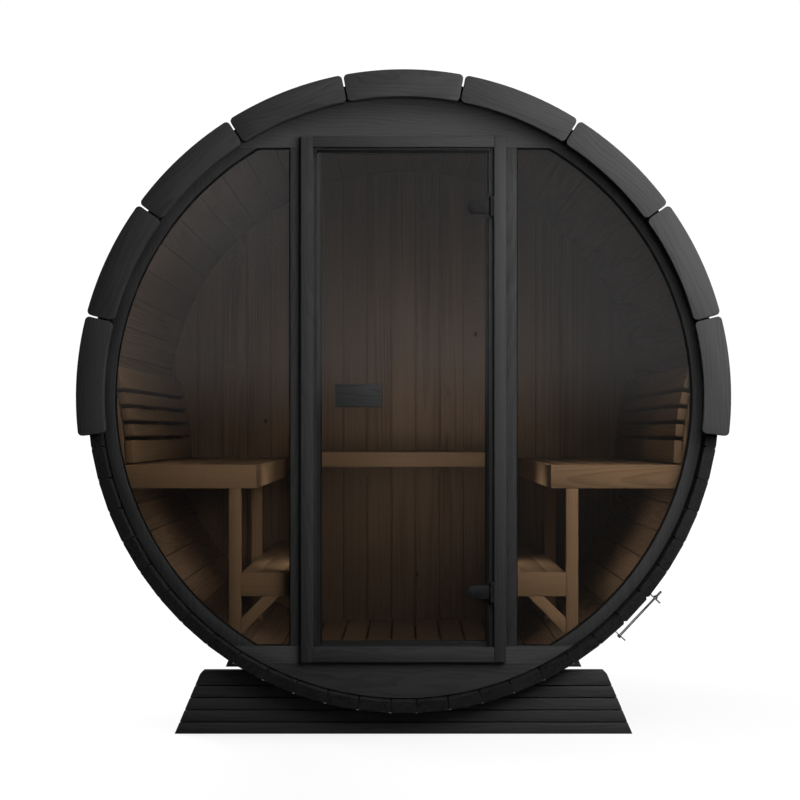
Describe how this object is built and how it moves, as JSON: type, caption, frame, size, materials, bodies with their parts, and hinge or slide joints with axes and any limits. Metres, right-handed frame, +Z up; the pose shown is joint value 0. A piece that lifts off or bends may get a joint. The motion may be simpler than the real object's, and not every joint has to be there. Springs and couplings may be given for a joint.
{
  "type": "barrel sauna",
  "caption": "Free-standing barrel sauna of black-stained staves on two cradles, with a glazed front end, a hinged smoked-glass door and two-tier benches inside.",
  "frame": {"origin": "on the ground, under the middle of the barrel", "axes": "+Z up, -Y towards the door end, +X to the right as seen facing the door"},
  "size_m": [2.08, 2.09, 2.125],
  "materials": {
    "stained_staves": "matte black stain outside, bare heat-treated wood inside",
    "stained_trim": "matte black stain",
    "stained_wall": "matte black stain outside, bare heat-treated wood inside",
    "bare_wood": "bare heat-treated wood",
    "smoked_glass": "smoked toughened glass",
    "steel": "brushed stainless steel",
    "dark_metal": "dark powder coat"
  },
  "bodies": {
    "cabin": {"staves_bottom": "stained_staves", "staves_lower_right": "stained_staves", "staves_upper_right": "stained_staves", "staves_top": "stained_staves", "staves_upper_left": "stained_staves", "staves_lower_left": "stained_staves", "front_fascia": "stained_trim", "rear_fascia": "stained_trim", "front_band": "steel", "rear_band": "steel", "front_band_bolt": "steel", "rear_band_bolt": "steel", "front_cradle": "stained_trim", "rear_cradle": "stained_trim", "front_wall_head": "stained_wall", "front_wall_base": "stained_wall", "front_rim_left": "stained_wall", "front_rim_right": "stained_wall", "door_post_left": "stained_wall", "door_post_right": "stained_wall", "window_left": "smoked_glass", "window_right": "smoked_glass", "door_jamb_left": "stained_trim", "door_jamb_right": "stained_trim", "door_head": "stained_trim", "door_sill": "stained_trim", "hinge_leaves": "dark_metal", "back_wall": "stained_wall", "floor_boards": "bare_wood", "floor_bearers": "bare_wood", "upper_bench_left": "bare_wood", "upper_bench_right": "bare_wood", "lower_bench_left": "bare_wood", "lower_bench_right": "bare_wood", "bench_legs_left": "bare_wood", "bench_legs_right": "bare_wood", "backrest_left": "bare_wood", "backrest_right": "bare_wood", "rear_bench": "bare_wood", "rear_bench_legs": "bare_wood"},
    "door": {"door_glass": "smoked_glass", "hinge_clamps": "dark_metal", "door_handle": "stained_trim"}
  },
  "joints": [
    {"name": "door_hinge", "type": "hinge", "parent": "cabin", "child": "door", "pos_m": [0.282, -0.962, 1.085], "axis": [0, 0, 1], "range_deg": [0, 110]}
  ]
}
